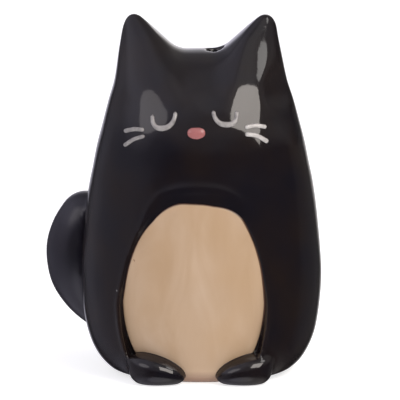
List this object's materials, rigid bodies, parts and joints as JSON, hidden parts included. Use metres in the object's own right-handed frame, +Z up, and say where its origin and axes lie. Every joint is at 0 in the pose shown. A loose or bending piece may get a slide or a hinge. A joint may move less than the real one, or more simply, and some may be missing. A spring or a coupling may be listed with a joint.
{
  "type": "ceramic cat shaker",
  "caption": "Hollow glazed ceramic cat shaker with raised painted face, inset cream belly, luted paws and tail, pour holes in the crown and a soft stopper in the base.",
  "frame": {"origin": "on the floor, at the middle of the base, on the body's upright axis", "axes": "+Z up, the cat faces -Y, +X to the viewer's right when its face is seen"},
  "size_m": [0.0576, 0.0471, 0.075],
  "materials": {
    "black_glaze": "gloss",
    "cream_glaze": "gloss",
    "white_enamel": "gloss",
    "pink_enamel": "gloss",
    "stopper": "matte"
  },
  "bodies": {
    "cat": {"body_shell": "black_glaze", "tail": "black_glaze", "left_paw": "black_glaze", "right_paw": "black_glaze", "belly_panel": "cream_glaze", "left_eye": "white_enamel", "right_eye": "white_enamel", "nose": "pink_enamel", "left_upper_whisker": "white_enamel", "left_lower_whisker": "white_enamel", "right_upper_whisker": "white_enamel", "right_lower_whisker": "white_enamel"},
    "stopper": {"base_stopper": "stopper"}
  },
  "joints": [
    {"name": "stopper_pull", "type": "slide", "parent": "cat", "child": "stopper", "axis": [0, 0, -1], "range_m": [0, 0.02]}
  ]
}
